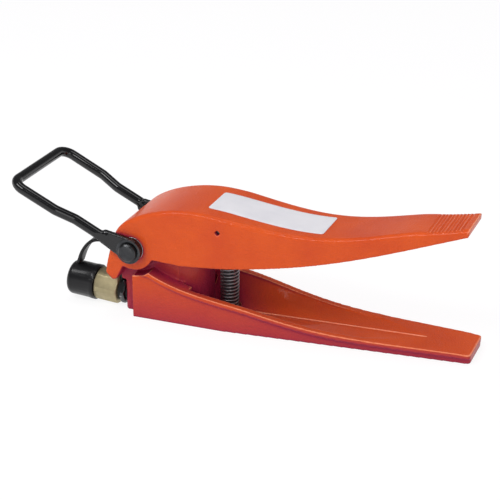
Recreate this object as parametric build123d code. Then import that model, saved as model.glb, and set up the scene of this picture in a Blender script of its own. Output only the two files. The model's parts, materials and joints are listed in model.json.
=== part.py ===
from build123d import *
import os
from math import atan2, cos, degrees, radians, sin, sqrt, tan

# Hydraulic spreader: two wedge jaws on one hinge pin, opened by a plunger in the lower jaw.
# Millimetres. +X points along the jaws to their tips, +Z is up and the base stands on z = 0.
# The origin lies on the base right below the hinge pin, half way across the width.

# Hinge
HINGE_Z = 78.0
PIN_D = 20.0
PIN_LENGTH = 117.0
PIN_CHAMFER = 2.0
BUSH_WALL = 2.0
RUNNING_GAP = 0.3

# Upper jaw
UPPER_REACH = 350.5
UPPER_HALF = 44.0
UPPER_TIP_HALF = 26.0
TAPER_START = 100.0
HUMP_RISE = 49.3
WAIST_RISE = 38.2
REAR_SLOPE_DEG = 74.0
HUMP_SLOPE_DEG = 17.0
TIP_SLOPE_DEG = 12.0
TIP_RISE = 66.0
TIP_THICK = 8.0
TOP_ROUND = 5.0
ROOF_WALL = 9.0
SIDE_WALL = 7.0
HOLLOW_REACH = 236.0
HOLLOW_DEPTH = 60.0
HUB_R = 24.0
CHEEK_INNER = 30.0
HEEL_DROP = 41.4
HEEL_BACK = 31.2
HEEL_ROUND = 4.5

# Corner rounding of both tips, seen from above
TIP_CORNER_R = 4.0

# Grip grooves across the tip of the upper jaw
GROOVE_PITCH = 3.6
GROOVE_COUNT = 9
GROOVE_START = 8.0
GROOVE_R = 1.1
GROOVE_DEPTH = 0.6

# Lower jaw
LOWER_REACH = 358.0
LOWER_HALF = 46.0
LOWER_TIP_HALF = 25.5
LOWER_TIP_THICK = 10.5
RIM_PROUD = 2.5
RIM_HEIGHT = 5.0
RIM_WIDTH = 8.0
SEAT_R = 30.5
REAR_WALL_X = -1.0
VALLEY_REAR_Z = 5.5
POCKET_REAR_X = 62.0
POCKET_END_X = 307.0

# Cylinder block of the lower jaw
BLOCK_REAR_X = -17.0
BLOCK_HALF = 28.7
BLOCK_FRONT_X = 73.0
BLOCK_CORNER_R = 27.0
BLOCK_REAR_R = 6.0
SHOULDER_REAR_X = -21.0
SHOULDER_Z = 34.5
SHOULDER_R = 3.0
BLOCK_TOP_Z = 66.0
EYE_R = 20.0

# Plunger and what seals it
PLUNGER_X = 43.0
PLUNGER_D = 38.0
BORE_D = 42.0
BORE_FLOOR_Z = 7.0
DOME_R = 24.0
JAW_CLOSED_DEG = -20.0
JAW_OPEN_DEG = 24.5
PAD_GAP = 0.5
PISTON_LENGTH = 14.0
PISTON_GAP = 0.4
SEAL_W = 4.0
WEAR_RING_W = 4.0
GLAND_LENGTH = 6.0
WIPER_W = 3.0
PAD_D = 30.0
PAD_THICK = 5.0
PAD_STUD_D = 10.0

# Return spring
SPRING_X = 92.0
ANCHOR_X = 96.0
ANCHOR_RISE = 31.4
ANCHOR_D = 5.0
ANCHOR_INSET = 4.0
SPRING_OD = 20.5
SPRING_WIRE = 2.6
SPRING_TURNS = 18.5
SPRING_SEAT_Z = 6.9
HOOK_CLEAR = 0.3
PLUG_HEIGHT = 9.0
SCREW_D = 6.0

# Carrying handle
HANDLE_TILT_DEG = 26.2
ROD_D = 11.0
ROD_HALF = 50.2
GRIP_HALF = 57.2
GRIP_REACH = 142.0
JOG_START = 66.0
JOG_END = 88.0
GRIP_CORNER_R = 13.0
PADDLE_R = 13.2
PADDLE_THICK = 6.0
PADDLE_END = 36.0
PADDLE_END_HALF = 7.8
ROD_DROP = 3.0
PADDLE_INNER = 45.0
FLATTENING = 15.0
RING_D = 27.0

# Oil inlet with its coupler and dust cap
PORT_Y = -15.0
PORT_Z = 16.5
PORT_TILT_DEG = 4.5
PORT_SINK = 1.2
PORT_D = 6.0
STUB_D = 14.0
STUB_LENGTH = 12.0
HEX_START = 2.2
HEX_LENGTH = 5.6
HEX_FLATS = 28.0
NECK_D = 17.0
STRAP_RING_W = 2.6
STRAP_RING_D = 27.0
BRASS_START = 10.9
BRASS_LENGTH = 26.7
BRASS_D = 35.5
BRASS_FLATS = 33.0
NIPPLE_D = 25.0
NIPPLE_LENGTH = 18.0
POPPET_D = 9.0
CHAMBER_D = 12.0
LIP_WIDTH = 4.0
THREAD_LENGTH = 11.7
CAP_D = 37.5
CAP_LENGTH = 32.3
CAP_WALL = 3.0
CAP_ROUND = 6.0
STRAP_W = 12.0
STRAP_THICK = 2.6

# Label
LABEL_START_X = 78.0
LABEL_LENGTH = 124.0
LABEL_HALF = 23.5
LABEL_THICK = 0.5
LABEL_FILM = 0.05

PORT_PLANE = Plane(
    origin=(BLOCK_REAR_X + PORT_SINK, PORT_Y, PORT_Z),
    x_dir=(0, 1, 0),
    z_dir=(-cos(radians(PORT_TILT_DEG)), 0, sin(radians(PORT_TILT_DEG))),
)


def side(x, rise):
    """Point of a side outline, its height measured from the hinge axis."""
    return (x, HINGE_Z + rise)


def side_prism(outline, half_width):
    """Solid made from a side outline, the same to both sides of the middle."""
    return extrude(make_face(Plane.XZ * outline), half_width, both=True)


def cross_cylinder(radius, half_length, x=0.0, z=HINGE_Z):
    """Cylinder lying across the jaws, centred on the middle."""
    return Pos(x, 0, z) * Rot(90, 0, 0) * Cylinder(radius, 2 * half_length)


def cross_ring(outer_d, inner_d, start, width):
    """Two rings round the hinge axis, one on each side, from start outwards."""
    ring = Cylinder(outer_d / 2, width) - Cylinder(inner_d / 2, 3 * width)
    near = Pos(0, -(start + width / 2), HINGE_Z) * Rot(90, 0, 0) * ring
    return near, mirror(near, about=Plane.XZ)


def upper_half_at(x):
    """Half width of the upper jaw at a place along it."""
    share = max(0.0, (x - TAPER_START) / (UPPER_REACH - TAPER_START))
    return UPPER_HALF + share * (UPPER_TIP_HALF - UPPER_HALF)


def lower_half_at(x):
    """Half width of the lower jaw's rim at a place along it."""
    share = max(0.0, (x - TAPER_START) / (LOWER_REACH - TAPER_START))
    return LOWER_HALF + share * (LOWER_TIP_HALF - LOWER_HALF)


def plan_prism(rear_x, reach, rear_half, tip_half, height):
    """Upright prism with the plan of a jaw, tapering from TAPER_START to its tip."""
    plan = Polyline(
        (rear_x, -rear_half),
        (TAPER_START, -rear_half),
        (reach, -tip_half),
        (reach, tip_half),
        (TAPER_START, rear_half),
        (rear_x, rear_half),
        close=True,
    )
    prism = extrude(make_face(plan), height)
    tip_corners = prism.edges().filter_by(Axis.Z).group_by(Axis.X)[-1]
    return fillet(tip_corners, TIP_CORNER_R)


def upper_top_points():
    """Points of the upper jaw's top edge, from above the hinge to the tip."""
    return [
        side(22.0, HUMP_RISE - 7.3),
        side(0.19 * UPPER_REACH, HUMP_RISE),
        side(0.34 * UPPER_REACH, 0.5 * (HUMP_RISE + WAIST_RISE) + 0.6),
        side(0.52 * UPPER_REACH, WAIST_RISE),
        side(0.70 * UPPER_REACH, 0.78 * WAIST_RISE + 0.22 * TIP_RISE),
        side(0.83 * UPPER_REACH, 0.4 * WAIST_RISE + 0.6 * TIP_RISE),
        side(UPPER_REACH, TIP_RISE),
    ]


def slope(deg):
    """Direction in a side view that rises by an angle."""
    return (cos(radians(deg)), sin(radians(deg)))


def upper_top_edge():
    """Top edge of the upper jaw."""
    return Spline(*upper_top_points(), tangents=[slope(HUMP_SLOPE_DEG), slope(TIP_SLOPE_DEG)])


def upper_outline():
    """Closed side outline of the upper jaw with its heel."""
    top = upper_top_edge()
    tip_low = side(UPPER_REACH - 1.0, TIP_RISE - TIP_THICK)
    low = [
        side(0.1535 * UPPER_REACH, -11.7),
        side(0.307 * UPPER_REACH, -6.9),
        side(0.525 * UPPER_REACH, 5.6),
        side(0.693 * UPPER_REACH, 21.2),
        side(0.861 * UPPER_REACH, 41.0),
        tip_low,
    ]
    under = Spline(*low)
    notch_x = sqrt(HUB_R**2 - 10.0**2)
    rear_angle = 180 + degrees(atan2(26.1, 13.4))
    hub_start = side(HUB_R * cos(radians(rear_angle)), HUB_R * sin(radians(rear_angle)))
    hub_low = side(0.0, -HUB_R)
    heel_top = side(-27.6, -8.7)
    back = FilletPolyline(
        hub_start,
        side(-20.9, -HEEL_DROP),
        side(-HEEL_BACK, -31.6),
        heel_top,
        radius=HEEL_ROUND,
    )
    rear = Spline(
        heel_top,
        side(-16.2, 20.4),
        side(6.2, 36.0),
        upper_top_points()[0],
        tangents=[slope(REAR_SLOPE_DEG), slope(HUMP_SLOPE_DEG)],
    )
    hub = ThreePointArc(hub_start, hub_low, side(notch_x, -10.0))
    joins = Line(side(notch_x, -10.0), low[0]) + Line(tip_low, side(UPPER_REACH, TIP_RISE))
    return top + under + back + rear + hub + joins


def upper_hollow():
    """Space inside the upper jaw, open below, that takes the cylinder block and the spring."""
    inner_top = offset_points(upper_top_points()[:6], ROOF_WALL)
    rear_x = inner_top[0][0]
    roof = Spline(*inner_top[:5])
    end = inner_top[4]
    outline = roof + Polyline(
        end,
        side(HOLLOW_REACH, 0.0),
        side(HOLLOW_REACH, -HOLLOW_DEPTH),
        side(rear_x, -HOLLOW_DEPTH),
        inner_top[0],
    )
    walls = plan_prism(
        rear_x, UPPER_REACH, UPPER_HALF - SIDE_WALL, UPPER_TIP_HALF - SIDE_WALL, 3 * HINGE_Z
    )
    return side_prism(outline, UPPER_HALF) & walls


def offset_points(points, drop):
    """The points moved straight down by a wall thickness."""
    return [(x, z - drop) for x, z in points]


def grip_grooves():
    """Round grooves cut across the top of the upper jaw's tip, spaced along its curve."""
    top = upper_top_edge()
    grooves = []
    for step in range(GROOVE_COUNT):
        back = (GROOVE_START + step * GROOVE_PITCH) / top.length
        spot = top @ (1.0 - back)
        grooves.append(cross_cylinder(GROOVE_R, UPPER_HALF, spot.X, spot.Y + GROOVE_R - GROOVE_DEPTH))
    return grooves


def make_upper_jaw():
    """Upper jaw: a curved, tapering casting, hollow below, with two hinge cheeks and heels."""
    rear_x = -HEEL_BACK - 5.0
    body = side_prism(upper_outline(), UPPER_HALF)
    body &= plan_prism(rear_x, UPPER_REACH + 5.0, UPPER_HALF, UPPER_TIP_HALF, 3 * HINGE_Z)
    top_edges = [
        edge
        for edge in body.edges()
        if abs(abs(edge.center().Y) - upper_half_at(edge.center().X)) < 1.0
        and edge.center().Z > HINGE_Z + 20.0
        and abs(edge.tangent_at(0.5).Z) < 0.95
    ]
    body = fillet(top_edges, TOP_ROUND)
    between = side_prism(
        Polyline(
            side(rear_x, -HOLLOW_DEPTH),
            side(BLOCK_FRONT_X, -HOLLOW_DEPTH),
            side(BLOCK_FRONT_X, 10.0),
            side(-6.0, 10.0),
            side(rear_x, 6.0),
            close=True,
        ),
        CHEEK_INNER,
    )
    body -= between
    body -= cross_cylinder(EYE_R + 2.5, CHEEK_INNER)
    body -= upper_hollow()
    body += pad_boss()
    body -= cross_cylinder(PIN_D / 2 + BUSH_WALL, PIN_LENGTH)
    body -= cross_cylinder(ANCHOR_D / 2, UPPER_HALF + 1.0, ANCHOR_X, HINGE_Z + ANCHOR_RISE)
    for groove in grip_grooves():
        body -= groove
    return body


def jaw_mid_deg():
    """Jaw angle half way between closed and open."""
    return (JAW_CLOSED_DEG + JAW_OPEN_DEG) / 2


def pad_plane():
    """Face of the thrust pad with the jaw at rest, its z axis pointing into the jaw.

    The face lies one dome radius above the line from the hinge axis at mid swing, so that
    the plunger's travel stays in step with the jaw's swing.
    """
    tilt = radians(-jaw_mid_deg())
    height = DOME_R + PAD_GAP
    along = PLUNGER_X + 1.5
    centre = Vector(
        along * cos(tilt) - height * sin(tilt), 0, HINGE_Z + along * sin(tilt) + height * cos(tilt)
    )
    return Plane(origin=centre, x_dir=(cos(tilt), 0, sin(tilt)), z_dir=(-sin(tilt), 0, cos(tilt)))


def pad_boss():
    """Boss under the jaw's roof that holds the thrust pad."""
    boss = pad_plane() * Pos(0, 0, PAD_THICK) * Cylinder(
        PAD_D / 2 + 2.0, 16.0, align=(Align.CENTER, Align.CENTER, Align.MIN)
    )
    stud_hole = pad_plane() * Cylinder(
        PAD_STUD_D / 2, 12.0, align=(Align.CENTER, Align.CENTER, Align.MIN)
    )
    roof = side_prism(upper_outline(), UPPER_HALF - SIDE_WALL)
    return (boss & roof) - stud_hole


def make_thrust_pad():
    """Hardened pad that the plunger's dome pushes on, with its press-in stud."""
    up = (Align.CENTER, Align.CENTER, Align.MIN)
    disc = Cylinder(PAD_D / 2, PAD_THICK, align=up)
    disc = chamfer(disc.edges().group_by(Axis.Z)[0], 1.0)
    stud = Cylinder(PAD_STUD_D / 2, 11.0, align=up)
    return pad_plane() * (disc + stud)


def lower_crest_points():
    """Points of the rim's crest, from the hinge seat to the tip."""
    return [
        (18.0, HINGE_Z - 24.0),
        (60.0, HINGE_Z - 38.5),
        (0.3165 * LOWER_REACH, LOWER_TIP_THICK + 20.0),
        (0.43 * LOWER_REACH, LOWER_TIP_THICK + 11.6),
        (0.559 * LOWER_REACH, LOWER_TIP_THICK + 4.3),
        (0.692 * LOWER_REACH, LOWER_TIP_THICK + 1.3),
        (LOWER_REACH, LOWER_TIP_THICK),
    ]


def lower_outline(drop):
    """Side outline of the lower jaw, its top edge lowered by drop."""
    crest = [(x, z - drop) for x, z in lower_crest_points()]
    top = Spline(*crest)
    foot = Polyline(
        crest[0],
        (REAR_WALL_X, crest[0][1]),
        (REAR_WALL_X, 0.0),
        (LOWER_REACH, 0.0),
        crest[-1],
    )
    return top + foot


def pocket_section(x, inner_half, rim_z, valley_z):
    """V-shaped cross-section of the lower jaw's pocket at one place along it."""
    flat = 1.5
    points = [
        (-inner_half, rim_z),
        (-flat, valley_z),
        (flat, valley_z),
        (inner_half, rim_z),
        (inner_half, rim_z + HINGE_Z),
        (-inner_half, rim_z + HINGE_Z),
    ]
    return make_face(Plane.YZ.offset(x) * Polyline(*points, close=True))


def lower_pocket():
    """Pocket between the rims: two sloping sides that meet in a valley on the middle line."""
    crest = lower_crest_points()
    drop = 2.5
    end_valley = LOWER_TIP_THICK + 0.5
    sections = []
    for x, z in [(POCKET_REAR_X, crest[1][1])] + crest[2:6]:
        share = (x - POCKET_REAR_X) / (POCKET_END_X - POCKET_REAR_X)
        valley = VALLEY_REAR_Z + share * (end_valley - VALLEY_REAR_Z)
        inner = lower_half_at(x) - RIM_WIDTH
        sections.append(pocket_section(x, inner, max(z - drop, valley + 1.0), valley))
    sections.append(pocket_section(POCKET_END_X, 4.0, end_valley + 0.8, end_valley))
    return loft(sections, ruled=True)


def make_block():
    """Cylinder block: round front, flat rear with the oil inlet and the eye for the hinge pin."""
    front = BLOCK_FRONT_X - BLOCK_CORNER_R
    plan = Pos(front, 0, 0) * Circle(BLOCK_CORNER_R)
    plan += Pos((BLOCK_REAR_X + front) / 2, 0, 0) * Rectangle(front - BLOCK_REAR_X, 2 * BLOCK_HALF)
    plan += Pos(front, 0, 0) * Rectangle(2.0, 2 * BLOCK_CORNER_R)
    block = extrude(plan, BLOCK_TOP_Z)
    rear_edges = block.edges().filter_by(Axis.Z).group_by(Axis.X)[0]
    block = fillet(rear_edges, BLOCK_REAR_R)
    shoulder = Pos(SHOULDER_REAR_X, 0, SHOULDER_Z) * Box(
        -SHOULDER_REAR_X,
        2 * BLOCK_HALF,
        BLOCK_TOP_Z - SHOULDER_Z,
        align=(Align.MIN, Align.CENTER, Align.MIN),
    )
    block += fillet(shoulder.faces().sort_by(Axis.X)[0].edges(), SHOULDER_R)
    neck = Pos(BLOCK_REAR_X, 0, BLOCK_TOP_Z) * Box(
        EYE_R - BLOCK_REAR_X - 2.0,
        2 * BLOCK_HALF,
        HINGE_Z - BLOCK_TOP_Z,
        align=(Align.MIN, Align.CENTER, Align.MIN),
    )
    cover = cross_cylinder(EYE_R, BLOCK_HALF)
    corner = Pos(0, 0, HINGE_Z - EYE_R) * Box(2 * EYE_R, 2 * BLOCK_HALF, 2 * EYE_R)
    rear_clear = cross_cylinder(3 * EYE_R, BLOCK_HALF + 1.0) - cross_cylinder(EYE_R, BLOCK_HALF + 1.0)
    keep = Pos(0, 0, HINGE_Z - 60.0) * Box(300, 300, 2 * 60.0 - 2 * 14.0)
    return block + cover + (neck - rear_clear) + (corner & block & keep)


def make_lower_jaw():
    """Lower jaw: flat-based wedge with a beaded rim, a V pocket and the cylinder block."""
    crown = side_prism(lower_outline(0.0), LOWER_HALF)
    crown &= plan_prism(-20.0, LOWER_REACH, LOWER_HALF, LOWER_TIP_HALF, HINGE_Z)
    belly = plan_prism(
        -20.0, LOWER_REACH, LOWER_HALF - RIM_PROUD, LOWER_TIP_HALF - RIM_PROUD, HINGE_Z
    )
    below_rim = side_prism(lower_outline(RIM_HEIGHT), LOWER_HALF + 1.0)
    jaw = crown - (below_rim - belly)
    jaw -= cross_cylinder(SEAT_R, LOWER_HALF + 1.0)
    jaw -= lower_pocket()
    rear_room = Pos(-20.0, 0, 0) * Box(
        POCKET_REAR_X + 24.0,
        2 * CHEEK_INNER,
        HINGE_Z * 2,
        align=(Align.MIN, Align.CENTER, Align.MIN),
    )
    jaw -= rear_room
    floor = Pos(REAR_WALL_X, 0, 0) * Box(
        POCKET_REAR_X + 4.0,
        2 * CHEEK_INNER,
        VALLEY_REAR_Z + 2.0,
        align=(Align.MIN, Align.CENTER, Align.MIN),
    )
    jaw += floor
    web = Pos(6.0, 0, 0) * Box(
        46.0, 2 * CHEEK_INNER + 2.0, HINGE_Z - SEAT_R - 6.0, align=(Align.MIN, Align.CENTER, Align.MIN)
    )
    jaw += web
    jaw += make_block()
    jaw -= cross_cylinder(PIN_D / 2 + BUSH_WALL, BLOCK_HALF + 1.0)
    up = (Align.CENTER, Align.CENTER, Align.MIN)
    jaw -= Pos(PLUNGER_X, 0, BORE_FLOOR_Z) * Cylinder(BORE_D / 2, HINGE_Z, align=up)
    jaw -= PORT_PLANE * Pos(0, 0, -STUB_LENGTH) * Cylinder(STUB_D / 2, STUB_LENGTH + 5.0, align=up)
    jaw -= PORT_PLANE * Pos(0, 0, -48.0) * Cylinder(PORT_D / 2, 48.0, align=up)
    jaw -= port_cylinder(NECK_D + 7.0, 0.0, 5.0)
    jaw -= Pos(SPRING_X, 0, SPRING_SEAT_Z) * Cylinder(SPRING_OD / 2 + 1.5, HINGE_Z, align=up)
    jaw -= make_screw_room()
    return jaw


def make_screw_room():
    """Countersunk hole in the floor for the screw of the spring's plug."""
    up = (Align.CENTER, Align.CENTER, Align.MIN)
    hole = Cylinder(SCREW_D / 2 + 0.2, 2 * SPRING_SEAT_Z, align=up)
    cone = Cone(SCREW_D / 2 + 3.1, SCREW_D / 2 + 0.2, 2.9, align=up)
    return Pos(SPRING_X, 0, 0) * (hole + cone)


def plunger_top(jaw_deg):
    """Height of the plunger's top for a jaw angle."""
    travel_per_rad = plunger_ratio()
    return HINGE_Z + DOME_R + travel_per_rad * radians(jaw_deg - jaw_mid_deg())


def plunger_ratio():
    """Plunger travel for each radian of jaw swing, in millimetres."""
    half_swing = radians(JAW_OPEN_DEG - jaw_mid_deg())
    return PLUNGER_X * tan(half_swing) / half_swing * 0.985


def make_plunger():
    """Domed plunger with a wider piston at its foot, shown with the jaw at rest."""
    top = plunger_top(0.0)
    stroke_down = plunger_ratio() * radians(-JAW_CLOSED_DEG)
    bottom = BORE_FLOOR_Z + 1.0 + stroke_down
    up = (Align.CENTER, Align.CENTER, Align.MIN)
    rod = Pos(PLUNGER_X, 0, bottom) * Cylinder(PLUNGER_D / 2, top - bottom, align=up)
    rod &= Pos(PLUNGER_X, 0, top - DOME_R) * Sphere(DOME_R) + Pos(PLUNGER_X, 0, bottom) * Cylinder(
        DOME_R, top - DOME_R - bottom, align=up
    )
    piston_d = BORE_D - 2 * PISTON_GAP
    piston = Pos(PLUNGER_X, 0, bottom) * Cylinder(piston_d / 2, PISTON_LENGTH, align=up)
    piston = chamfer(piston.edges().group_by(Axis.Z)[0], 1.0)
    grooves = seal_groove(bottom + 2.5, SEAL_W) + seal_groove(bottom + 8.0, WEAR_RING_W)
    return rod + piston - grooves


def seal_groove(start_z, width):
    """Ring-shaped room for a seal or wear ring in the piston."""
    up = (Align.CENTER, Align.CENTER, Align.MIN)
    ring = Cylinder(BORE_D / 2 + 1.0, width, align=up) - Cylinder(BORE_D / 2 - 3.0, width, align=up)
    return Pos(PLUNGER_X, 0, start_z) * ring


def piston_ring(offset_z, width):
    """Ring lying in one of the piston's grooves."""
    stroke_down = plunger_ratio() * radians(-JAW_CLOSED_DEG)
    bottom = BORE_FLOOR_Z + 1.0 + stroke_down
    up = (Align.CENTER, Align.CENTER, Align.MIN)
    ring = Cylinder(BORE_D / 2 - 0.15, width - 0.2, align=up)
    ring -= Cylinder(BORE_D / 2 - 3.0, width, align=up)
    return Pos(PLUNGER_X, 0, bottom + offset_z + 0.1) * ring


def make_gland():
    """Guide sleeve in the top of the bore that also stops the piston."""
    up = (Align.CENTER, Align.CENTER, Align.MIN)
    sleeve = Cylinder(BORE_D / 2, GLAND_LENGTH, align=up)
    sleeve -= Cylinder(PLUNGER_D / 2 + 0.3, GLAND_LENGTH, align=up)
    return Pos(PLUNGER_X, 0, BLOCK_TOP_Z - WIPER_W - GLAND_LENGTH) * sleeve


def make_wiper():
    """Wiper ring above the guide sleeve."""
    up = (Align.CENTER, Align.CENTER, Align.MIN)
    ring = Cylinder(BORE_D / 2, WIPER_W + 1.0, align=up)
    ring = chamfer(ring.edges().group_by(Axis.Z)[-1], 0.8)
    ring -= Cylinder(PLUNGER_D / 2 + 0.3, WIPER_W + 1.0, align=up)
    return Pos(PLUNGER_X, 0, BLOCK_TOP_Z - WIPER_W) * ring


def make_hinge_pin():
    """Hinge pin with chamfered ends and a groove near each end for its ring."""
    pin = cross_cylinder(PIN_D / 2, PIN_LENGTH / 2)
    ends = pin.edges().filter_by(GeomType.CIRCLE)
    pin = chamfer(ends, PIN_CHAMFER)
    for groove in cross_ring(PIN_D + 4.0, PIN_D - 2.0, PADDLE_INNER + PADDLE_THICK + RUNNING_GAP, 2.0):
        pin -= groove
    return pin


def make_retaining_rings():
    """Flat rings snapped into the pin's grooves outside the handle's paddles."""
    start = PADDLE_INNER + PADDLE_THICK + RUNNING_GAP + 0.1
    near, far = cross_ring(RING_D, PIN_D - 1.9, start, 1.8)
    return Compound([near, far])


def make_washers(outer_d, start, width):
    """One plain washer on each side of the jaws, round the hinge pin."""
    near, far = cross_ring(outer_d, PIN_D + 0.2, start, width)
    return Compound([near, far])


def make_upper_bushes():
    """Bushes pressed into the upper jaw's two cheeks."""
    near, far = cross_ring(PIN_D + 2 * BUSH_WALL, PIN_D + 0.1, CHEEK_INNER, UPPER_HALF - CHEEK_INNER)
    return Compound([near, far])


def make_lower_bush():
    """Long bush pressed into the eye of the cylinder block."""
    return cross_cylinder(PIN_D / 2 + BUSH_WALL, BLOCK_HALF) - cross_cylinder(PIN_D / 2 + 0.05, 60.0)


def handle_direction():
    """Unit direction of the handle's arms, leaning back and up from the hinge."""
    tilt = radians(HANDLE_TILT_DEG)
    return (-cos(tilt), 0, sin(tilt))


def make_handle():
    """Bail handle: one bent rod whose ends are flattened into paddles round the hinge pin."""
    along = handle_direction()
    down = (-along[2], 0, along[0])
    flat = Plane(origin=(0, 0, HINGE_Z), x_dir=along, z_dir=down).offset(ROD_DROP)
    start = PADDLE_END - 8.0
    path = flat * FilletPolyline(
        (start, -ROD_HALF),
        (JOG_START, -ROD_HALF),
        (JOG_END, -GRIP_HALF + 0.8),
        (GRIP_REACH, -GRIP_HALF),
        (GRIP_REACH, GRIP_HALF),
        (JOG_END, GRIP_HALF - 0.8),
        (JOG_START, ROD_HALF),
        (start, ROD_HALF),
        radius=GRIP_CORNER_R,
    )
    section = Plane(origin=path @ 0, z_dir=path % 0) * Circle(ROD_D / 2)
    rod = sweep(section, path=path)
    ends = flat * (Pos(start, -ROD_HALF) * Sphere(ROD_D / 2) + Pos(start, ROD_HALF) * Sphere(ROD_D / 2))
    face = Plane(origin=(0, -PADDLE_INNER, HINGE_Z), x_dir=along, z_dir=(0, -1, 0))
    foot = Pos(PADDLE_END - 9.0, ROD_DROP) * RectangleRounded(18.0, 2 * PADDLE_END_HALF, 5.5)
    outside = ROD_HALF + ROD_D
    forging_cut = Polyline(
        (0, -outside),
        (0, -PADDLE_INNER - PADDLE_THICK),
        (start - 4.0, -PADDLE_INNER - PADDLE_THICK),
        (start + FLATTENING, -ROD_HALF - ROD_D / 2 - 0.5),
        (start + FLATTENING, -outside),
        close=True,
    )
    forged = extrude(flat * make_face(forging_cut), ROD_D, both=True)
    rod = rod + ends - forged - mirror(forged, about=Plane.XZ)
    outline = make_hull((Circle(PADDLE_R).edges() + foot.edges()))
    paddle = extrude(face * outline, PADDLE_THICK)
    outer = paddle.edges().group_by(Axis.Y)[0]
    paddle = chamfer(outer, 1.0)
    handle = rod + paddle + mirror(paddle, about=Plane.XZ)
    return handle - cross_cylinder(PIN_D / 2 + 0.05, PIN_LENGTH)


def spring_mean_r():
    """Radius of the middle of the spring's wire."""
    return (SPRING_OD - SPRING_WIRE) / 2


def spring_loop_z():
    """Height of the middle of the spring's end loop, which hangs on the anchor pin."""
    reach = spring_mean_r() - (SPRING_WIRE + ANCHOR_D) / 2 - HOOK_CLEAR
    return HINGE_Z + ANCHOR_RISE - sqrt(reach**2 - (ANCHOR_X - SPRING_X) ** 2)


def make_return_spring():
    """Extension spring: coil with its lower turns on the plug and a loop on the anchor pin."""
    mean_r = spring_mean_r()
    bottom = SPRING_SEAT_Z + HOOK_CLEAR + SPRING_WIRE / 2
    top = spring_loop_z() - mean_r
    path = Helix((top - bottom) / SPRING_TURNS, top - bottom, mean_r)
    profile = Plane(origin=path @ 0, z_dir=path % 0) * Circle(SPRING_WIRE / 2)
    coil = Pos(SPRING_X, 0, bottom) * sweep(profile, path=path)
    loop = Pos(SPRING_X, 0, spring_loop_z()) * Rot(90, 0, 0) * Torus(mean_r, SPRING_WIRE / 2)
    bridge_start = Vector(SPRING_X, 0, bottom) + path @ 1
    foot = Vector(SPRING_X, 0, top)
    bridge = Plane(origin=bridge_start, z_dir=foot - bridge_start) * Cylinder(
        SPRING_WIRE / 2, mean_r, align=(Align.CENTER, Align.CENTER, Align.MIN)
    )
    knee = Pos(bridge_start) * Sphere(1.04 * SPRING_WIRE / 2)
    return (bridge + loop) + (knee + coil)


def make_anchor_pin():
    """Cross pin in the upper jaw that holds the spring's loop."""
    return cross_cylinder(ANCHOR_D / 2, UPPER_HALF - ANCHOR_INSET, ANCHOR_X, HINGE_Z + ANCHOR_RISE)


def make_spring_plug():
    """Plug that the spring's lowest turns are wound on."""
    up = (Align.CENTER, Align.CENTER, Align.MIN)
    core = Cylinder(SPRING_OD / 2 - SPRING_WIRE - HOOK_CLEAR, PLUG_HEIGHT, align=up)
    core = chamfer(core.edges().group_by(Axis.Z)[-1], 1.0)
    core -= Cylinder(SCREW_D / 2, PLUG_HEIGHT - 2.0, align=up)
    return Pos(SPRING_X, 0, SPRING_SEAT_Z) * core


def make_spring_screw():
    """Countersunk screw from below that holds the spring's plug."""
    up = (Align.CENTER, Align.CENTER, Align.MIN)
    head = Cone(SCREW_D / 2 + 2.5, SCREW_D / 2, 2.5, align=up)
    shank = Cylinder(SCREW_D / 2, SPRING_SEAT_Z + PLUG_HEIGHT - 4.0, align=up)
    socket = extrude(RegularPolygon(2.0, 6, major_radius=False), 2.0)
    return Pos(SPRING_X, 0, 0.4) * (head + shank - socket)


def port_cylinder(diameter, start, length):
    """Cylinder on the oil inlet's axis, its start measured out from the block's rear face."""
    up = (Align.CENTER, Align.CENTER, Align.MIN)
    return PORT_PLANE * Pos(0, 0, start) * Cylinder(diameter / 2, length, align=up)


def port_hex(across_flats, start, length):
    """Hexagon on the oil inlet's axis."""
    hexagon = RegularPolygon(across_flats / 2, 6, major_radius=False)
    return PORT_PLANE * Pos(0, 0, start) * extrude(hexagon, length)


def brass_end():
    """Distance of the coupler's shoulder from the block's rear face."""
    return BRASS_START + BRASS_LENGTH


def make_adapter():
    """Hexagon adapter screwed into the block at one end and into the coupler at the other."""
    adapter = port_cylinder(STUB_D, -STUB_LENGTH, STUB_LENGTH)
    adapter += port_cylinder(NECK_D, 0.0, BRASS_START)
    hexagon = port_hex(HEX_FLATS, HEX_START, HEX_LENGTH)
    round_off = port_cylinder(HEX_FLATS * 1.1, HEX_START, HEX_LENGTH)
    round_off = chamfer(round_off.edges().filter_by(GeomType.CIRCLE), 1.2)
    adapter += hexagon & round_off
    adapter += port_cylinder(STUB_D, BRASS_START, THREAD_LENGTH)
    return adapter - port_cylinder(PORT_D, -STUB_LENGTH - 1.0, 60.0)


def make_inlet_seal():
    """Sealing washer between the block and the adapter's neck."""
    return port_cylinder(NECK_D + 6.0, 0.0, 2.0) - port_cylinder(NECK_D, -1.0, 4.0)


def make_coupler_body():
    """Brass coupler half: hexagon body, nipple and the chamber of its check valve."""
    body = port_hex(BRASS_FLATS, BRASS_START, BRASS_LENGTH)
    barrel = port_cylinder(BRASS_D, BRASS_START, BRASS_LENGTH)
    barrel = chamfer(barrel.edges().filter_by(GeomType.CIRCLE), 1.5)
    body = (body & barrel) + port_cylinder(BRASS_FLATS - 0.6, brass_end() - 8.0, 8.0)
    nipple = port_cylinder(NIPPLE_D, brass_end(), NIPPLE_LENGTH)
    nipple = chamfer(nipple.edges().filter_by(GeomType.CIRCLE), 1.0)
    body += nipple
    body -= port_cylinder(STUB_D, BRASS_START, THREAD_LENGTH + 0.3)
    body -= port_cylinder(CHAMBER_D, BRASS_START, BRASS_LENGTH + NIPPLE_LENGTH - LIP_WIDTH)
    return body - port_cylinder(POPPET_D + 0.4, brass_end(), NIPPLE_LENGTH + 1.0)


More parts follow.
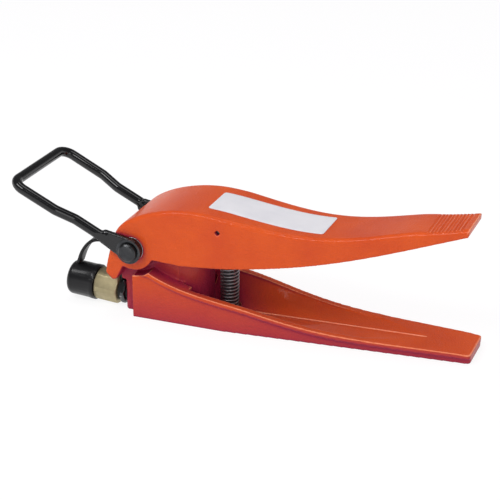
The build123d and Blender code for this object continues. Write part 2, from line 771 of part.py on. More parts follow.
def make_poppet():
    """Valve poppet that closes the coupler's mouth from inside."""
    end = brass_end() + NIPPLE_LENGTH
    nose = port_cylinder(POPPET_D, end - LIP_WIDTH - 0.5, LIP_WIDTH + 0.3)
    flange = port_cylinder(CHAMBER_D - 0.6, end - LIP_WIDTH - 4.3, 4.0)
    return nose + flange


def make_poppet_spring():
    """Spring that presses the poppet shut."""
    wire = 1.2
    mean_r = CHAMBER_D / 2 - 0.5 - wire / 2
    start = BRASS_START + THREAD_LENGTH + 0.8
    end = brass_end() + NIPPLE_LENGTH - LIP_WIDTH - 4.5
    height = end - start - wire
    path = Helix(height / 5.5, height, mean_r)
    profile = Plane(origin=path @ 0, z_dir=path % 0) * Circle(wire / 2)
    return PORT_PLANE * Pos(0, 0, start + wire / 2) * sweep(profile, path=path)


def make_dust_cap():
    """Moulded cap over the coupler's nipple, with a rounded closed end and a thick lip."""
    start = brass_end() + 0.5
    cap = port_cylinder(CAP_D, start, CAP_LENGTH)
    far_face = cap.faces().sort_by(Axis.X)[0]
    cap = fillet(far_face.edges(), CAP_ROUND)
    lip = port_cylinder(CAP_D + 0.8, start, 5.0)
    return cap + lip - port_cylinder(NIPPLE_D + 0.6, start - 1.0, CAP_LENGTH - CAP_WALL + 1.0)


def make_cap_strap():
    """Flat strap from a ring round the adapter's neck, up and over to the back of the cap."""
    ring = port_cylinder(STRAP_RING_D, HEX_START + HEX_LENGTH + 0.3, STRAP_RING_W)
    ring -= port_cylinder(NECK_D, 0.0, BRASS_START)
    line = FilletPolyline(
        (-23.85, 29.4),
        (-23.85, 42.0),
        (-36.0, 65.5),
        (-51.0, 74.0),
        (-66.0, 67.0),
        (-75.0, 54.0),
        (-78.0, 41.2),
        radius=6.0,
    )
    band = trace(line, STRAP_THICK)
    plane = Plane(origin=(0, PORT_Y, 0), x_dir=(1, 0, 0), z_dir=(0, -1, 0))
    return ring + extrude(plane * band, STRAP_W / 2, both=True)


def make_label():
    """Thin bare label plate that follows the curve of the upper jaw's top."""
    top = upper_top_points()
    low_end = [side(UPPER_REACH, 0.0), side(22.0, 0.0), top[0]]
    under = side_prism(upper_top_edge() + Polyline(top[-1], *low_end), LABEL_HALF)
    strip = Pos(LABEL_START_X, 0, HINGE_Z) * Box(
        LABEL_LENGTH, 2 * LABEL_HALF, 3 * HUMP_RISE, align=(Align.MIN, Align.CENTER, Align.MIN)
    )
    corners = strip.edges().filter_by(Axis.Z)
    strip = fillet(corners, 3.0)
    return (Pos(0, 0, LABEL_THICK) * under & strip) - Pos(0, 0, LABEL_FILM) * under


NODES = {
    "lower_jaw": make_lower_jaw(),
    "upper_jaw": make_upper_jaw(),
    "thrust_pad": make_thrust_pad(),
    "plunger": make_plunger(),
    "plunger_seal": piston_ring(2.5, SEAL_W),
    "plunger_wear_ring": piston_ring(8.0, WEAR_RING_W),
    "guide_sleeve": make_gland(),
    "wiper_ring": make_wiper(),
    "hinge_pin": make_hinge_pin(),
    "retaining_rings": make_retaining_rings(),
    "thrust_washers": make_washers(2 * EYE_R - 2.0, BLOCK_HALF, 1.0),
    "handle_washers": make_washers(2 * PADDLE_R, UPPER_HALF + 0.2, 0.6),
    "upper_bushes": make_upper_bushes(),
    "lower_bush": make_lower_bush(),
    "carrying_handle": make_handle(),
    "return_spring": make_return_spring(),
    "spring_anchor_pin": make_anchor_pin(),
    "spring_plug": make_spring_plug(),
    "spring_screw": make_spring_screw(),
    "inlet_adapter": make_adapter(),
    "inlet_seal": make_inlet_seal(),
    "coupler_body": make_coupler_body(),
    "coupler_poppet": make_poppet(),
    "poppet_spring": make_poppet_spring(),
    "dust_cap": make_dust_cap(),
    "cap_strap": make_cap_strap(),
    "label_plate": make_label(),
}

os.makedirs("parts", exist_ok=True)
for name, shape in NODES.items():
    shape.label = name
    export_step(shape, f"parts/{name}.step")
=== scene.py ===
"""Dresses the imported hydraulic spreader: finishes, soft cast edges, spring, strap and studio."""

import json
import logging
from dataclasses import dataclass, field
from enum import Enum
from math import cos, pi, radians, sin, tau
from typing import Any, Callable, Iterable, Optional, Sequence

import bmesh
import bpy
from mathutils import Matrix, Vector


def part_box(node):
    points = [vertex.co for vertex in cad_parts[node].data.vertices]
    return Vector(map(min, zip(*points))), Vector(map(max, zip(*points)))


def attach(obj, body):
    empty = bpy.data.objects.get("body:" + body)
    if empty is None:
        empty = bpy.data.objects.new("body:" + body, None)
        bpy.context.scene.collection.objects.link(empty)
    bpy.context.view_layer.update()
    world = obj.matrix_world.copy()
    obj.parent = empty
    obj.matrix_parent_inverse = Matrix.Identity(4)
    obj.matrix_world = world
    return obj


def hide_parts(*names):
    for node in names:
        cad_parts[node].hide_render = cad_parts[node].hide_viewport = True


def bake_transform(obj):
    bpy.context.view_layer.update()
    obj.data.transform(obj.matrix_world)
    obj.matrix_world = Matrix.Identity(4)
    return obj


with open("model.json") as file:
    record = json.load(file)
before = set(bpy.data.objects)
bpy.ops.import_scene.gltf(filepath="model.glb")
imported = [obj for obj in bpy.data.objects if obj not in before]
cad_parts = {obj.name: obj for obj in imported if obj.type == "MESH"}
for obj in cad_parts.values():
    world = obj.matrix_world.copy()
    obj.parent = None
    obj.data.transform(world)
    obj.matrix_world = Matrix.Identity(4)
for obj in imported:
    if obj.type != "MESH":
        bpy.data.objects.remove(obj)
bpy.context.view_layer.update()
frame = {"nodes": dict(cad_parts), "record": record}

LOG = logging.getLogger("spreader")
MM = 0.001

Colour = tuple[float, float, float]
Point = tuple[float, float, float]


class Body(str, Enum):
    """The moving bodies of the spreader, as the record names them."""

    LOWER = "lower_body"
    UPPER = "upper_body"
    PLUNGER = "plunger_body"
    HANDLE = "handle_body"
    POPPET = "poppet_body"
    CAP = "cap_body"


class Tree:
    """A small helper that adds and links nodes in one node tree."""

    def __init__(self, tree: bpy.types.NodeTree) -> None:
        """Keeps the tree to work on.

        Args:
            tree: A material's tree or a node group.
        """
        self.tree = tree

    def add(self, kind: str, settings: Optional[dict[str, Any]] = None, **inputs: Any) -> Any:
        """Adds a node and fills its inputs.

        Args:
            kind: Blender's type name of the node.
            settings: Attributes to set on the node itself.
            inputs: Socket values or sockets, by the socket's name with underscores.

        Returns:
            The new node.
        """
        node = self.tree.nodes.new(kind)
        for key, value in (settings or {}).items():
            setattr(node, key, value)
        for key, value in inputs.items():
            self.feed(node, key.replace("_", " "), value)
        return node

    def feed(self, node: Any, socket: Any, value: Any) -> None:
        """Sets one input to a value, or links another node's output to it.

        Args:
            node: The node to feed.
            socket: Name or index of its input.
            value: A plain value or an output socket.
        """
        target = node.inputs[socket]
        if isinstance(value, bpy.types.NodeSocket):
            self.tree.links.new(value, target)
        elif hasattr(value, "__len__") and len(target.default_value) == 4:
            target.default_value = (*value, 1.0)
        else:
            target.default_value = value

    def math(self, operation: str, first: Any, second: Any = 0.0, clamp: bool = False) -> Any:
        """Adds a Math node and returns its output."""
        node = self.add("ShaderNodeMath", {"operation": operation, "use_clamp": clamp})
        self.feed(node, 0, first)
        self.feed(node, 1, second)
        return node.outputs[0]

    def spread(self, value: Any, low: float, high: float, to_low: float, to_high: float) -> Any:
        """Maps a value from one range to another, clamped, and returns the output."""
        node = self.add("ShaderNodeMapRange", {"clamp": True}, Value=value)
        for socket, number in zip(("From Min", "From Max", "To Min", "To Max"), (low, high, to_low, to_high)):
            self.feed(node, socket, number)
        return node.outputs["Result"]

    def mix(self, factor: Any, first: Any, second: Any) -> Any:
        """Mixes two colours and returns the output."""
        node = self.add("ShaderNodeMix", {"data_type": "RGBA"})
        self.feed(node, 0, factor)
        self.feed(node, 6, first)
        self.feed(node, 7, second)
        return node.outputs[2]

    def noise(self, place: Any, scale: Any, detail: float = 3.0, roughness: float = 0.5) -> Any:
        """Adds a noise texture and returns its grey output."""
        node = self.add("ShaderNodeTexNoise", Vector=place, Scale=scale, Detail=detail, Roughness=roughness)
        return node.outputs[0]

    def place(self) -> Any:
        """Returns the piece's own coordinates, in metres."""
        return self.add("ShaderNodeTexCoord").outputs["Object"]


def group(name: str, inputs: dict[str, Any], outputs: Sequence[str]) -> tuple[Any, Tree, Any, Any]:
    """Starts a shader node group with named sockets.

    Args:
        name: The group's name.
        inputs: Default value of each input, a number or a colour.
        outputs: Names of the outputs; those that end in Colour are colours.

    Returns:
        The group, a Tree on it, and its input and output nodes.
    """
    made = bpy.data.node_groups.new(name, "ShaderNodeTree")
    for key, value in inputs.items():
        kind = "NodeSocketColor" if hasattr(value, "__len__") else "NodeSocketFloat"
        socket = made.interface.new_socket(name=key, in_out="INPUT", socket_type=kind)
        socket.default_value = (*value, 1.0) if hasattr(value, "__len__") else value
    for key in outputs:
        kind = "NodeSocketColor" if key.endswith("Colour") else "NodeSocketFloat"
        made.interface.new_socket(name=key, in_out="OUTPUT", socket_type=kind)
    tree = Tree(made)
    return made, tree, tree.add("NodeGroupInput"), tree.add("NodeGroupOutput")


class Effects:
    """Surface effects shared by several materials, each one a node group built once."""

    def __init__(self) -> None:
        """Builds every group."""
        self.cast_skin = self._cast_skin()
        self.edge_mask = self._edge_mask()
        self.tone_drift = self._tone_drift()
        self.gloss_drift = self._gloss_drift()

    def _cast_skin(self) -> Any:
        """Height of a painted casting: broad lumps and the fine grain of sand under paint."""
        made, tree, given, put = group(
            "cast_skin", {"Lump Size": 90.0, "Lump": 0.5, "Grain Size": 900.0, "Grain": 0.2}, ["Height"]
        )
        place = tree.place()
        lump = tree.noise(place, given.outputs["Lump Size"], 2.0)
        grain = tree.noise(place, given.outputs["Grain Size"], 3.0, 0.6)
        lump_part = tree.math("MULTIPLY", lump, given.outputs["Lump"])
        grain_part = tree.math("MULTIPLY", grain, given.outputs["Grain"])
        tree.feed(put, "Height", tree.math("ADD", lump_part, grain_part))
        return made

    def _edge_mask(self) -> Any:
        """Masks of outer edges, for worn edges and painted edge highlights, and of inner corners, for painted corner
        shade.
        """
        made, tree, given, put = group("edge_mask", {"Start": 0.53, "Ragged": 0.04}, ["Edge", "Corner"])
        bend = tree.add("ShaderNodeNewGeometry").outputs["Pointiness"]
        rag = tree.noise(tree.place(), 350.0, 4.0, 0.7)
        shift = tree.math("MULTIPLY", tree.math("SUBTRACT", rag, 0.5), given.outputs["Ragged"])
        bent = tree.math("ADD", bend, shift)
        above = tree.math("SUBTRACT", bent, given.outputs["Start"])
        tree.feed(put, "Edge", tree.spread(above, 0.0, 0.03, 0.0, 1.0))
        # Inner corners, which the casting's paint darkens as painted shade.
        tree.feed(put, "Corner", tree.spread(bent, 0.47, 0.40, 0.0, 1.0))
        return made

    def _tone_drift(self) -> Any:
        """A colour that drifts between two tones over the surface."""
        made, tree, given, put = group(
            "tone_drift", {"Tone": (0.5, 0.5, 0.5), "Other": (0.4, 0.4, 0.4), "Size": 25.0}, ["Colour"]
        )
        drift = tree.noise(tree.place(), given.outputs["Size"], 4.0, 0.55)
        share = tree.spread(drift, 0.35, 0.68, 0.0, 1.0)
        tree.feed(put, "Colour", tree.mix(share, given.outputs["Tone"], given.outputs["Other"]))
        return made

    def _gloss_drift(self) -> Any:
        """A roughness that varies around a middle value, with smudges."""
        made, tree, given, put = group(
            "gloss_drift", {"Roughness": 0.4, "Swing": 0.1, "Size": 60.0}, ["Roughness"]
        )
        smudge = tree.noise(tree.place(), given.outputs["Size"], 5.0, 0.6)
        swing = tree.math("MULTIPLY", tree.math("SUBTRACT", smudge, 0.5), given.outputs["Swing"])
        tree.feed(put, "Roughness", tree.math("ADD", given.outputs["Roughness"], swing, True))
        return made

    def use(self, tree: Tree, made: Any, **inputs: Any) -> Any:
        """Places a group in a tree.

        Args:
            tree: The material's tree.
            made: The group.
            inputs: Its values, by socket name with underscores.

        Returns:
            The group node.
        """
        return tree.add("ShaderNodeGroup", {"node_tree": made}, **inputs)


def start_material(name: str) -> tuple[bpy.types.Material, Tree, Any]:
    """Makes an empty node material.

    Args:
        name: The material's name.

    Returns:
        The material, a Tree on it and its Principled BSDF.
    """
    material = bpy.data.materials.new(name)
    material.use_nodes = True
    material.node_tree.nodes.clear()
    tree = Tree(material.node_tree)
    shader = tree.add("ShaderNodeBsdfPrincipled")
    out = tree.add("ShaderNodeOutputMaterial")
    tree.feed(out, "Surface", shader.outputs[0])
    return material, tree, shader


def bump(tree: Tree, shader: Any, height: Any, depth: float) -> None:
    """Feeds a height to the shader's normal.

    Args:
        tree: The material's tree.
        shader: The Principled BSDF.
        height: Output socket with the height.
        depth: Height of the relief in metres.
    """
    node = tree.add("ShaderNodeBump", Height=height, Strength=1.0, Distance=depth)
    tree.feed(shader, "Normal", node.outputs[0])


@dataclass(frozen=True)
class CastPaint:
    """Gloss paint over a sand casting, with painted highlights on its upward edges and painted shade in its corners
    and recesses.
    """

    name: str
    tone: Colour
    other: Colour
    # Colour of the painted highlight along the casting's upward-facing edges.
    edge: Colour
    # Colour of the painted shade in the casting's inner corners.
    corner: Colour
    roughness: float = 0.36
    # Colour of the painted shade under covering parts, and how far the AO node looks for cover.
    painted_shade: Colour = (0.36, 0.020, 0.060)
    shade_reach: float = 90.0 * MM
    coat: float = 0.25
    specular: float = 0.05
    relief: float = 1.0 * MM

    def material(self, effects: Effects) -> bpy.types.Material:
        """Builds the material."""
        material, tree, shader = start_material(self.name)
        drift = effects.use(tree, effects.tone_drift, Tone=self.tone, Other=self.other, Size=18.0)
        mask = effects.use(tree, effects.edge_mask, Start=0.515, Ragged=0.03)
        # Painted shade: where the AO node finds cover, under the upper jaw and in the pocket, the colour turns
        # crimson.
        shade_cover = tree.add("ShaderNodeAmbientOcclusion", {"samples": 16}, Distance=self.shade_reach)
        depth = tree.spread(shade_cover.outputs["AO"], 0.80, 0.40, 0.0, 1.0)
        shaded_tone = tree.mix(depth, drift.outputs["Colour"], self.painted_shade)
        # Painted shade: inner corners darken towards the corner colour.
        corner_shaded = tree.mix(mask.outputs["Corner"], shaded_tone, self.corner)
        # Painted highlight: edges facing upwards turn towards the bright edge colour.
        facing = tree.add("ShaderNodeSeparateXYZ", Vector=tree.add("ShaderNodeNewGeometry").outputs["Normal"])
        top_facing = tree.spread(facing.outputs["Z"], 0.15, 0.5, 0.0, 1.0)
        edge_highlight = tree.math("MULTIPLY", mask.outputs["Edge"], top_facing)
        tree.feed(shader, "Base Color", tree.mix(edge_highlight, corner_shaded, self.edge))
        gloss = effects.use(tree, effects.gloss_drift, Roughness=self.roughness, Swing=0.16, Size=55.0)
        tree.feed(shader, "Roughness", gloss.outputs["Roughness"])
        shader.inputs["Specular IOR Level"].default_value = self.specular
        shader.inputs["Coat Weight"].default_value = self.coat
        shader.inputs["Coat Roughness"].default_value = 0.12
        skin = effects.use(tree, effects.cast_skin, Lump_Size=75.0, Lump=0.25, Grain_Size=520.0, Grain=0.8)
        bump(tree, shader, skin.outputs["Height"], self.relief)
        return material


@dataclass(frozen=True)
class Metal:
    """Machined or plated metal with fine marks and duller patches."""

    name: str
    tone: Colour
    other: Colour
    edge: Colour
    roughness: float = 0.32
    metallic: float = 1.0
    relief: float = 0.04 * MM
    edge_start: float = 0.54

    def material(self, effects: Effects) -> bpy.types.Material:
        """Builds the material."""
        material, tree, shader = start_material(self.name)
        drift = effects.use(tree, effects.tone_drift, Tone=self.tone, Other=self.other, Size=90.0)
        mask = effects.use(tree, effects.edge_mask, Start=self.edge_start, Ragged=0.02)
        tree.feed(shader, "Base Color", tree.mix(mask.outputs["Edge"], drift.outputs["Colour"], self.edge))
        shader.inputs["Metallic"].default_value = self.metallic
        gloss = effects.use(tree, effects.gloss_drift, Roughness=self.roughness, Swing=0.2, Size=160.0)
        tree.feed(shader, "Roughness", gloss.outputs["Roughness"])
        skin = effects.use(tree, effects.cast_skin, Lump_Size=300.0, Lump=0.2, Grain_Size=2600.0, Grain=0.8)
        bump(tree, shader, skin.outputs["Height"], self.relief)
        return material


@dataclass(frozen=True)
class Gloss:
    """Black stove paint, moulded rubber or film: a coat over a quiet surface."""

    name: str
    tone: Colour
    other: Colour
    edge: Colour
    roughness: float = 0.3
    coat: float = 0.5
    coat_roughness: float = 0.08
    specular: float = 0.2
    relief: float = 0.06 * MM
    grain_size: float = 1100.0
    coat_ior: float = 1.5

    def material(self, effects: Effects) -> bpy.types.Material:
        """Builds the material."""
        material, tree, shader = start_material(self.name)
        drift = effects.use(tree, effects.tone_drift, Tone=self.tone, Other=self.other, Size=40.0)
        mask = effects.use(tree, effects.edge_mask, Start=0.56, Ragged=0.02)
        tree.feed(shader, "Base Color", tree.mix(mask.outputs["Edge"], drift.outputs["Colour"], self.edge))
        gloss = effects.use(tree, effects.gloss_drift, Roughness=self.roughness, Swing=0.18, Size=120.0)
        tree.feed(shader, "Roughness", gloss.outputs["Roughness"])
        shader.inputs["Specular IOR Level"].default_value = self.specular
        shader.inputs["Coat Weight"].default_value = self.coat
        shader.inputs["Coat Roughness"].default_value = self.coat_roughness
        shader.inputs["Coat IOR"].default_value = self.coat_ior
        skin = effects.use(
            tree, effects.cast_skin, Lump_Size=160.0, Lump=0.7, Grain_Size=self.grain_size, Grain=0.35
        )
        bump(tree, shader, skin.outputs["Height"], self.relief)
        return material


FINISHES: tuple[Any, ...] = (
    # The orange casting's edge colour is a painted highlight and its corner colour is painted shade.
    CastPaint("orange_casting", (0.74, 0.102, 0.017), (0.65, 0.076, 0.017), (1.0, 0.34, 0.18), (0.26, 0.014, 0.02)),
    Metal("hardened_steel", (0.42, 0.42, 0.44), (0.33, 0.33, 0.35), (0.60, 0.60, 0.62)),
    Metal("chromed_steel", (0.72, 0.73, 0.75), (0.66, 0.67, 0.69), (0.80, 0.80, 0.82), 0.14),
    Gloss("black_seal", (0.02, 0.02, 0.021), (0.03, 0.03, 0.03), (0.05, 0.05, 0.05), 0.6, 0.0),
    Gloss("wear_polymer", (0.42, 0.30, 0.14), (0.36, 0.25, 0.12), (0.50, 0.38, 0.20), 0.55, 0.0),
    Metal("bearing_bronze", (0.58, 0.38, 0.18), (0.48, 0.30, 0.14), (0.72, 0.50, 0.26)),
    # Black pin steel's light edge colour is a painted highlight along its chamfered edges.
    Metal("black_pin_steel", (0.075, 0.077, 0.08), (0.045, 0.046, 0.05), (0.26, 0.27, 0.28), 0.34, 1.0, 0.05 * MM, 0.545),
    Metal("zinc_steel", (0.36, 0.37, 0.39), (0.27, 0.28, 0.30), (0.62, 0.63, 0.65), 0.38),
    Gloss(
        "black_handle_paint",
        (0.004, 0.004, 0.005),
        (0.007, 0.007, 0.008),
        (0.015, 0.015, 0.015),
        roughness=0.35,
        coat=0.7,
        specular=0.05,
        coat_ior=1.6,
    ),
    Metal("spring_steel", (0.20, 0.20, 0.21), (0.10, 0.10, 0.11), (0.42, 0.42, 0.44), 0.36),
    Metal("black_screw_steel", (0.05, 0.05, 0.052), (0.03, 0.03, 0.032), (0.30, 0.30, 0.31), 0.4),
    Metal("black_adapter_steel", (0.10, 0.10, 0.105), (0.06, 0.06, 0.063), (0.50, 0.50, 0.52), 0.2),
    Metal("coupler_brass", (0.50, 0.43, 0.25), (0.36, 0.31, 0.18), (0.66, 0.59, 0.40), 0.46, 0.7),
    Gloss("black_cap_rubber", (0.008, 0.008, 0.009), (0.014, 0.014, 0.015), (0.04, 0.04, 0.04), 0.34, 0.2, 0.16),
    Gloss("black_strap_rubber", (0.009, 0.009, 0.010), (0.016, 0.016, 0.017), (0.04, 0.04, 0.04), 0.42, 0.12, 0.2),
    Gloss("white_label", (0.84, 0.85, 0.86), (0.79, 0.80, 0.82), (0.78, 0.78, 0.79), 0.36, 0.3, 0.12, 0.2, 0.01 * MM),
)


class Workshop:
    """Holds the finishes and the ways in which every sub-assembly makes and dresses its pieces."""

    def __init__(self) -> None:
        """Builds the shared effects, every material and the table of slots."""
        effects = Effects()
        self.materials = {finish.name: finish.material(effects) for finish in FINISHES}
        self.slots = {row["node"]: row["material_slot"] for row in frame["record"]["subparts"]}

    def finish(self, piece: bpy.types.Object, slot: str) -> None:
        """Gives a piece one material.

        Args:
            piece: The mesh object.
            slot: The record's material slot.
        """
        piece.data.materials.clear()
        piece.data.materials.append(self.materials[slot])

    def add(self, piece: bpy.types.Object, body: Body, *nodes: str, slot: Optional[str] = None) -> None:
        """Puts a new piece on its body, gives it its finish and hides the nodes it stands for.

        Args:
            piece: The new mesh object.
            body: The body it rides on.
            nodes: CAD nodes that it replaces.
            slot: The material slot, if no node is replaced.
        """
        name = slot or self.slots[nodes[0]]
        self.finish(piece, name)
        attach(piece, body.value)
        if nodes:
            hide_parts(*nodes)
        LOG.info("piece %s on %s, %d faces", piece.name, body.value, len(piece.data.polygons))

    def dress(self, node: str, edge: float = 0.25 * MM, angle: float = 32.0) -> None:
        """Gives a CAD node its finish, with its sharp edges broken by a small bevel.

        Args:
            node: The CAD node.
            edge: Width of the bevel in metres.
            angle: Smallest angle in degrees that counts as an edge.
        """
        piece = frame["nodes"][node]
        self.finish(piece, self.slots[node])
        piece.data.shade_smooth()
        weld = piece.modifiers.new("weld", "WELD")
        weld.merge_threshold = 0.002 * MM
        bevel = piece.modifiers.new("broken_edge", "BEVEL")
        bevel.width = edge
        bevel.segments = 2
        bevel.limit_method = "ANGLE"
        bevel.angle_limit = radians(angle)
        bevel.use_clamp_overlap = True
        bevel.harden_normals = True
        LOG.info("node %s dressed", node)

    def cast_copy(self, node: str, name: str, voxel: float, passes: int) -> bpy.types.Object:
        """Copies a CAD node as one even skin with the soft edges of a casting.

        Args:
            node: The CAD node.
            name: Name of the new piece.
            voxel: Size of the skin's faces in metres.
            passes: How often the skin is smoothed.

        Returns:
            The new object.
        """
        mesh = frame["nodes"][node].data.copy()
        mesh.name = name
        piece = bpy.data.objects.new(name, mesh)
        bpy.context.scene.collection.objects.link(piece)
        skin = bmesh.new()
        skin.from_mesh(mesh)
        bmesh.ops.remove_doubles(skin, verts=skin.verts, dist=0.002 * MM)
        skin.to_mesh(mesh)
        skin.free()
        remesh = piece.modifiers.new("skin", "REMESH")
        remesh.mode = "VOXEL"
        remesh.voxel_size = voxel
        smooth = piece.modifiers.new("soften", "SMOOTH")
        smooth.iterations = passes
        smooth.factor = 0.5
        return settle(piece)


def settle(piece: bpy.types.Object) -> bpy.types.Object:
    """Makes a piece's modifiers part of its mesh, shaded smooth.

    Args:
        piece: The object with modifiers.

    Returns:
        The same object with a plain mesh.
    """
    bpy.context.view_layer.update()
    graph = bpy.context.evaluated_depsgraph_get()
    mesh = bpy.data.meshes.new_from_object(piece.evaluated_get(graph))
    mesh.name = piece.name
    piece.modifiers.clear()
    piece.data = mesh
    mesh.shade_smooth()
    return piece


def make_mesh(name: str, build: Callable[[bmesh.types.BMesh], None]) -> bpy.types.Object:
    """Makes an object from a bmesh that a function fills.

    Args:
        name: The object's name.
        build: Fills the bmesh.

    Returns:
        The new object, shaded smooth.
    """
    shape = bmesh.new()
    build(shape)
    bmesh.ops.recalc_face_normals(shape, faces=shape.faces)
    mesh = bpy.data.meshes.new(name)
    shape.to_mesh(mesh)
    shape.free()
    mesh.shade_smooth()
    piece = bpy.data.objects.new(name, mesh)
    bpy.context.scene.collection.objects.link(piece)
    return piece


def add_tube(shape: bmesh.types.BMesh, line: Sequence[Vector], radius: float, sides: int = 12) -> None:
    """Adds a round tube along a line, its section carried along without twist.

    Args:
        shape: The bmesh to fill.
        line: The tube's centre line.
        radius: The tube's radius.
        sides: Corners of its section.
    """
    rings = []
    across: Optional[Vector] = None
    for index, spot in enumerate(line):
        before = line[max(index - 1, 0)]
        after = line[min(index + 1, len(line) - 1)]
        ahead = (after - before).normalized()
        if across is None:
            across = ahead.orthogonal().normalized()
        across = (across - ahead * across.dot(ahead)).normalized()
        up = ahead.cross(across)
        ring = []
        for side in range(sides):
            turn = tau * side / sides
            ring.append(shape.verts.new(spot + radius * (cos(turn) * across + sin(turn) * up)))
        rings.append(ring)
    for first, second in zip(rings, rings[1:]):
        for side in range(sides):
            following = (side + 1) % sides
            shape.faces.new((first[side], first[following], second[following], second[side]))
    shape.faces.new(rings[0])
    shape.faces.new(rings[-1])


@dataclass
class Jaws:
    """The two painted castings and the grip ridges on the upper tip."""

    shop: Workshop
    voxel: float = 0.9 * MM
    soften: int = 4
    ridge_pitch: float = 3.6 * MM
    ridge_depth: float = 0.75 * MM
    ridge_count: int = 10
    ridge_inset: float = 6.2 * MM
    bead_radius: float = 1.1 * MM
    valley_start: Point = (0.104, 0.0, 0.0064)
    valley_end: Point = (0.307, 0.0, 0.0108)

    def cut_ridges(self, piece: bpy.types.Object) -> None:
        """Refines the top of the upper tip and cuts the grip ridges across it.

        Args:
            piece: The upper jaw's casting.
        """
        tip = max(vertex.co.x for vertex in piece.data.vertices)
        last = tip - self.ridge_inset
        first = last - self.ridge_count * self.ridge_pitch
        shape = bmesh.new()
        shape.from_mesh(piece.data)
        faces = [
            face
            for face in shape.faces
            if face.normal.z > 0.75 and first - MM < face.calc_center_median().x < last + MM
        ]
        edges = list({edge for face in faces for edge in face.edges})
        bmesh.ops.subdivide_edges(shape, edges=edges, cuts=2, use_grid_fill=True)
        shape.normal_update()
        for vertex in shape.verts:
            place = (vertex.co.x - first) / self.ridge_pitch
            if 0.0 < place < self.ridge_count and vertex.normal.z > 0.75:
                wave = 0.5 - 0.5 * cos(tau * place)
                ease = min(1.0, (vertex.normal.z - 0.75) / 0.15)
                vertex.co.z -= self.ridge_depth * ease * wave
        shape.to_mesh(piece.data)
        shape.free()
        piece.data.shade_smooth()

    def valley_bead(self) -> bpy.types.Object:
        """Makes the thin cast bead along the lowest line of the lower jaw's pocket.

        Returns:
            The bead.
        """
        line = [Vector(self.valley_start).lerp(Vector(self.valley_end), step / 40) for step in range(41)]
        return make_mesh("valley_bead", lambda shape: add_tube(shape, line, self.bead_radius))

    def build(self) -> None:
        """Makes both castings."""
        self.shop.add(self.valley_bead(), Body.LOWER, slot="orange_casting")
        for node, body in (("lower_jaw", Body.LOWER), ("upper_jaw", Body.UPPER)):
            piece = self.shop.cast_copy(node, node + "_casting", self.voxel, self.soften)
            if body is Body.UPPER:
                self.cut_ridges(piece)
            self.shop.add(piece, body, node)


@dataclass
class HingeStack:
    """Pin, rings, washers and bushes on the hinge axis."""

    shop: Workshop

    def build(self) -> None:
        """Dresses the CAD pieces."""
        self.shop.dress("hinge_pin", 0.3 * MM)
        for node in ("retaining_rings", "thrust_washers", "handle_washers"):
            self.shop.dress(node, 0.25 * MM)
        for node in ("upper_bushes", "lower_bush"):
            self.shop.dress(node, 0.2 * MM)


@dataclass
class CarryingHandle:
    """The black bail handle with its flattened paddles."""

    shop: Workshop
    voxel: float = 0.8 * MM
    soften: int = 5

    def build(self) -> None:
        """Makes the handle as one smooth painted skin."""
        piece = self.shop.cast_copy("carrying_handle", "carrying_handle_rod", self.voxel, self.soften)
        self.shop.add(piece, Body.HANDLE, "carrying_handle")


@dataclass
class CylinderParts:
    """Plunger, seals, sleeve and thrust pad."""

    shop: Workshop

    def build(self) -> None:
        """Dresses the CAD pieces."""
        for node in ("plunger", "thrust_pad", "guide_sleeve"):
            self.shop.dress(node, 0.3 * MM)
        for node in ("plunger_seal", "plunger_wear_ring", "wiper_ring"):
            self.shop.dress(node, 0.2 * MM)


@dataclass
class ReturnSpring:
    """The return spring with its loop, and what holds its ends."""

    shop: Workshop
    wire: float = 2.6 * MM
    turns: float = 18.5
    steps: int = 28

    def line(self) -> list[Vector]:
        """Works out the wire's centre line from the CAD node's box.

        Returns:
            Points of the line, from the lowest turn to the end of the loop.
        """
        low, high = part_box("return_spring")
        radius = (high.y - low.y) / 2 - self.wire / 2
        middle = Vector(((high.x + low.x) / 2, 0.0, 0.0))
        bottom = low.z + self.wire / 2
        loop_z = high.z - self.wire / 2 - radius
        top = loop_z - radius
        count = int(self.turns * self.steps)
        line = []
        for step in range(count + 1):
            share = step / count
            turn = tau * self.turns * share
            spot = Vector((radius * cos(turn), radius * sin(turn), bottom + share * (top - bottom)))
            line.append(middle + spot)
        for step in range(1, self.steps + 1):
            turn = 1.5 * pi + (step / self.steps) * 1.85 * pi
            line.append(middle + Vector((radius * cos(turn), 0.0, loop_z + radius * sin(turn))))
        return line

    def build(self) -> None:
        """Makes the spring and dresses its holders."""
        line = self.line()
        piece = make_mesh("return_spring_wire", lambda shape: add_tube(shape, line, self.wire / 2))
        self.shop.finish(piece, "spring_steel")
        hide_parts("return_spring")
        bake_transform(piece)
        LOG.info("piece %s blends between the jaws", piece.name)
        for node in ("spring_anchor_pin", "spring_plug", "spring_screw"):
            self.shop.dress(node, 0.2 * MM)


